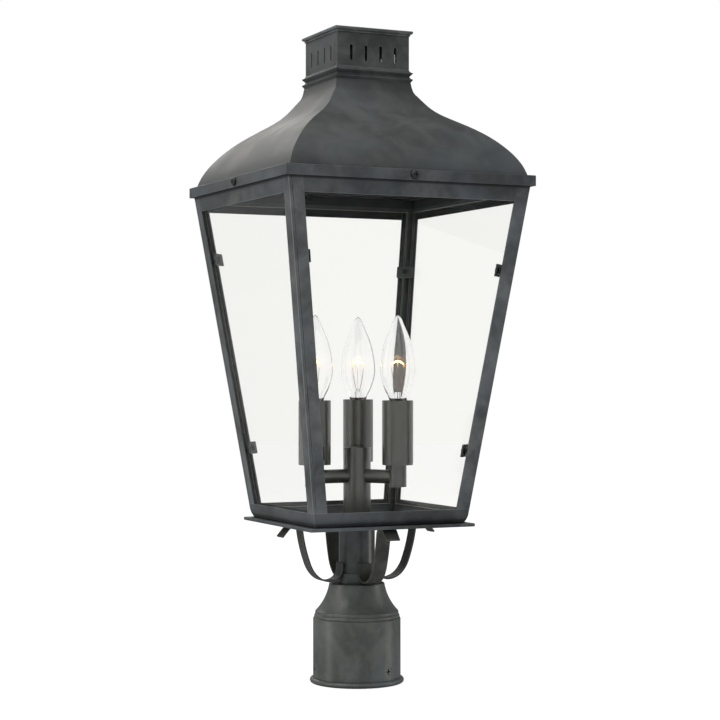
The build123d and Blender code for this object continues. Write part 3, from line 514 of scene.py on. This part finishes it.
candle_paint = weathered_paint("candle paint", dark=(56, 55, 50), pale=(66, 65, 59), bloom=(63, 64, 61),
                               worn=(98, 96, 86), clouds=30.0, contrast=0.7, gloss=0.29, wear=0.15,
                               bump=0.02, shine=0.9, uneven=0.02)
clip_paint = weathered_paint("clip paint", dark=(58, 60, 57), pale=(82, 84, 80), bloom=(74, 79, 80),
                             worn=(116, 117, 111), clouds=60.0, wear=0.8, gloss=0.6)
screw_paint = weathered_paint("screw paint", dark=(24, 25, 25), pale=(46, 48, 47), bloom=(36, 40, 42),
                              worn=(70, 71, 68), clouds=90.0, wear=0.4, gloss=0.36)
set_screw_paint = weathered_paint("set screw paint", dark=(62, 64, 58), pale=(86, 87, 80),
                                  bloom=(76, 80, 78), worn=(126, 127, 118), clouds=90.0, wear=0.9,
                                  gloss=0.36)
moulded_socket = weathered_paint("moulded socket", dark=(22, 22, 22), pale=(34, 34, 33), bloom=(28, 29, 30),
                                 worn=(50, 50, 48), wear=0.1, gloss=0.5, bump=0.05)
lead_cover = weathered_paint("lead cover", dark=(196, 192, 180), pale=(216, 212, 202), bloom=(205, 203, 196),
                             worn=(220, 216, 208), wear=0.1, gloss=0.45, bump=0.05)
zinc_plate = plain_metal("zinc plate", colour=(150, 150, 146), stained=(110, 108, 100), roughness=0.35)
socket_brass = plain_metal("socket brass", colour=(176, 142, 84), stained=(120, 92, 50), roughness=0.3)
pane_glass = clear_glass("pane glass", tint=(0.962, 0.962, 0.948, 1), ior=1.12, dust=0.006, shade=0.9,
                         glinting_cut_edge=True)
lamp_glass = clear_glass("lamp glass", tint=(1.0, 1.0, 1.0, 1), ior=1.5, dust=0.004, shade=0.95, glow=0.012)
hot_wire = lit_filament("lit filament")

finish_of = {
    "post_fitter": fitter_paint, "stem_collar": fitter_paint, "neck_tube": neck_paint,
    "base_plate": cage_paint, "bottom_rails": cage_paint, "top_rails": cage_paint,
    "threaded_pipe": zinc_plate, "pipe_nuts": zinc_plate,
    "glass_clips": clip_paint, "clip_bosses": clip_paint, "clip_screws": screw_paint,
    "column_tube": candle_paint, "column_cap": candle_paint,
    "socket_bodies": moulded_socket, "socket_screw_shells": socket_brass, "socket_contacts": socket_brass,
    "lead_wires": lead_cover,
    "roof_shell": roof_paint, "roof_skirt": skirt_paint,
    "skirt_screws": screw_paint, "skirt_nuts": screw_paint,
    "chimney_moulding": chimney_paint, "chimney_box": chimney_paint, "chimney_cap": cap_paint,
}
for side in sides:
    finish_of[f"scroll_strap_{side}"] = strap_paint
    finish_of[f"glass_pane_{side}"] = pane_glass
for corner in corners:
    finish_of[f"corner_post_{corner}"] = post_paint
for number in numbers:
    finish_of[f"set_screw_{number}"] = set_screw_paint
    finish_of[f"side_arm_{number}"] = candle_paint
    finish_of[f"socket_cup_{number}"] = candle_paint
    finish_of[f"candle_sleeve_{number}"] = candle_paint
    finish_of[f"lamp_glass_{number}"] = lamp_glass
    finish_of[f"lamp_base_{number}"] = socket_brass
    finish_of[f"lamp_contact_{number}"] = socket_brass
    finish_of[f"lamp_filament_{number}"] = hot_wire


def finish_piece(name, material):
    """Puts a finish on every material slot of a CAD piece."""
    cad_piece = cad_pieces[name]
    if not cad_piece.material_slots:
        cad_piece.data.materials.append(material)
    for slot in cad_piece.material_slots:
        slot.material = material


for name, material in finish_of.items():
    finish_piece(name, material)


# ---------------------------------------------------------------- lamp wires
def draw_wire(bm, points, radius, flats=8):
    """Sweeps a round section along points, with rings that turn as little as they can."""
    turns = [2 * math.pi * flat / flats for flat in range(flats)]
    rings = []
    across = None
    for index, point in enumerate(points):
        ahead = points[min(index + 1, len(points) - 1)] - points[max(index - 1, 0)]
        ahead.normalize()
        if across is None:
            across = ahead.orthogonal().normalized()
        across = (across - ahead * across.dot(ahead)).normalized()
        beside = ahead.cross(across)
        spokes = [math.cos(a) * across + math.sin(a) * beside for a in turns]
        rings.append([bm.verts.new(point + radius * spoke) for spoke in spokes])
    for low, high in zip(rings, rings[1:]):
        for flat in range(flats):
            beyond = (flat + 1) % flats
            bm.faces.new((low[flat], low[beyond], high[beyond], high[flat]))
    bm.faces.new(list(reversed(rings[0])))
    bm.faces.new(rings[-1])


def bowed(start, end, bow, count=14):
    """Points from start to end that bow outwards on the way."""
    steps = [index / (count - 1) for index in range(count)]
    return [start.lerp(end, t) + bow * math.sin(math.pi * t) for t in steps]


def wind_filament(number):
    """The lit parts of one lamp: two supports, a hooked middle support and the coiled wire between them."""
    node = f"lamp_filament_{number}"
    low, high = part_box(node)
    middle = (low + high) / 2
    out = math.atan2(middle.y, middle.x) + math.radians(screwed_in_at[number])
    along = Vector((math.cos(out), math.sin(out), 0))
    aside = Vector((-along.y, along.x, 0))
    foot = Vector((middle.x, middle.y, low.z))
    tip = Vector((middle.x, middle.y, high.z - arch_depth))
    bm = bmesh.new()
    for side in (-1, 1):
        start = foot + along * side * support_foot
        end = tip + along * side * arch_half_width
        draw_wire(bm, bowed(start, end, along * side * support_bow), support_radius)
    hook_middle = tip + up * hook_height
    hook_turns = [math.radians(angle) for angle in hook_angles]
    hook = [hook_middle + hook_radius * (math.cos(a) * aside + math.sin(a) * up) for a in hook_turns]
    draw_wire(bm, bowed(foot + up * hook_foot_lift, hook[0], aside * hook_bow) + hook[1:], hook_wire_radius)
    coil = []
    for step in range(coil_steps + 1):
        t = step / coil_steps
        turn = 2 * math.pi * coil_turns * t
        arch = along * (2 * t - 1) * arch_half_width + up * arch_rise * math.sin(math.pi * t)
        coil.append(tip + arch + coil_radius * (math.cos(turn) * aside + math.sin(turn) * up))
    draw_wire(bm, coil, coil_wire_radius, flats=6)
    mesh = bpy.data.meshes.new(f"filament_wires_{number}")
    bm.to_mesh(mesh)
    bm.free()
    for polygon in mesh.polygons:
        polygon.use_smooth = True
    mesh.materials.append(hot_wire)
    wires = bpy.data.objects.new(f"filament_wires_{number}", mesh)
    bpy.context.scene.collection.objects.link(wires)
    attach(wires, f"lamp_{number}")
    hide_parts(node)


for number in numbers:
    wind_filament(number)


# ---------------------------------------------------------------- studio
def floor_paper():
    """Pale paper that looks evenly lit, and is clear to reflections and from below."""
    material, tree, shader, output = new_finish("floor paper")
    shader.inputs["Roughness"].default_value = 0.9
    shader.inputs["Specular IOR Level"].default_value = 0.1
    shader.inputs["Emission Color"].default_value = pure_white
    ray = add_node(tree, "ShaderNodeLightPath", (0, -300)).outputs
    seen = sums(tree, "MAXIMUM", (200, -300), ray["Is Camera Ray"], ray["Is Transmission Ray"])
    strength = sums(tree, "MULTIPLY_ADD", (400, -300), seen, seen_paper_glow, paper_glow)
    tree.links.new(strength, shader.inputs["Emission Strength"])
    straight = sums(tree, "SUBTRACT", (0, 100), 1.0, ray["Is Transmission Ray"])
    mirrored = sums(tree, "MULTIPLY", (200, 100), ray["Is Glossy Ray"], straight)
    paper = blend_colours(tree, (400, 100), seen, bright_paper, seen_paper)
    tree.links.new(paper, shader.inputs["Base Color"])
    face = add_node(tree, "ShaderNodeNewGeometry", (600, 400))
    clear = sums(tree, "MAXIMUM", (750, 400), face.outputs["Backfacing"], mirrored)
    open_air = add_node(tree, "ShaderNodeBsdfTransparent", (600, 200))
    surface = blend_shaders(tree, (900, 200), clear, shader.outputs[0], open_air.outputs[0])
    tree.links.new(surface, output)
    return material


def lay_floor():
    """A wide disc of paper just under the lantern's foot."""
    turns = [2 * math.pi * side / floor_sides for side in range(floor_sides)]
    rim = [(floor_radius * math.cos(a), floor_radius * math.sin(a), -floor_gap) for a in turns]
    mesh = bpy.data.meshes.new("studio floor")
    mesh.from_pydata(rim, [], [tuple(range(floor_sides))])
    mesh.materials.append(floor_paper())
    floor = bpy.data.objects.new("studio_floor", mesh)
    bpy.context.scene.collection.objects.link(floor)


def hang_softbox(name, angle, height, distance, size, power, colour):
    """A soft lamp that stands at an angle about Z, in degrees, and looks at the lantern's middle."""
    lamp = bpy.data.lights.new(name, "AREA")
    lamp.shape = "RECTANGLE"
    lamp.size, lamp.size_y = size
    lamp.energy = power
    lamp.color = colour
    holder = bpy.data.objects.new(name, lamp)
    bpy.context.scene.collection.objects.link(holder)
    turn = math.radians(angle)
    holder.location = (distance * math.cos(turn), distance * math.sin(turn), height)
    aim = up * aim_height - holder.location
    holder.rotation_euler = aim.to_track_quat("-Z", "Y").to_euler()
    holder.visible_camera = False
    holder.visible_transmission = False


def light_world():
    """White behind the lantern, and softer light from all round."""
    world = bpy.data.worlds.new("studio")
    bpy.context.scene.world = world
    world.use_nodes = True
    tree = world.node_tree
    tree.nodes.clear()
    output = add_node(tree, "ShaderNodeOutputWorld", (600, 0))
    behind = add_node(tree, "ShaderNodeBackground", (200, 120))
    behind.inputs["Color"].default_value = pure_white
    behind.inputs["Strength"].default_value = 1.0
    around = add_node(tree, "ShaderNodeBackground", (200, -120))
    around.inputs["Color"].default_value = sky_white
    ray = add_node(tree, "ShaderNodeLightPath", (-200, 200)).outputs
    strength = sums(tree, "MULTIPLY_ADD", (0, -160), ray["Is Glossy Ray"], -less_in_mirrors, light_around)
    tree.links.new(strength, around.inputs["Strength"])
    seen = sums(tree, "MAXIMUM", (0, 200), ray["Is Camera Ray"], ray["Is Transmission Ray"])
    surface = blend_shaders(tree, (400, 0), seen, around.outputs[0], behind.outputs[0])
    tree.links.new(surface, output.inputs["Surface"])


def place_camera():
    """A level camera in front of the lantern's left side, shifted to frame it."""
    turn = math.radians(camera_turn)
    right = Vector((math.cos(turn), math.sin(turn), 0))
    back = Vector((math.sin(turn), -math.cos(turn), 0))
    camera = bpy.data.cameras.new("camera")
    camera.sensor_width = film_width
    camera.lens = film_width * focal_pixels / photo_pixels
    camera.shift_y = (horizon_row - photo_pixels / 2) / photo_pixels
    holder = bpy.data.objects.new("camera", camera)
    bpy.context.scene.collection.objects.link(holder)
    holder.location = back * camera_distance + right * camera_aside + up * camera_height
    holder.rotation_euler = Matrix((right, up, back)).transposed().to_euler()
    bpy.context.scene.camera = holder


lay_floor()
hang_softbox("left softbox", angle=168, height=0.4, distance=1.6, size=(0.45, 2.4), power=8.0,
             colour=warm_lamp)
hang_softbox("high left softbox", angle=190, height=1.7, distance=1.3, size=(0.8, 0.8), power=8.5,
             colour=soft_lamp)
hang_softbox("right softbox", angle=338, height=0.3, distance=1.6, size=(0.4, 2.2), power=5.6,
             colour=warm_lamp)
hang_softbox("back softbox", angle=82, height=1.35, distance=2.0, size=(1.6, 0.7), power=9.0,
             colour=soft_lamp)
hang_softbox("top softbox", angle=225, height=1.9, distance=0.6, size=(1.2, 1.2), power=14.0,
             colour=cool_lamp)
light_world()
place_camera()
bpy.context.scene.view_settings.view_transform = "Standard"
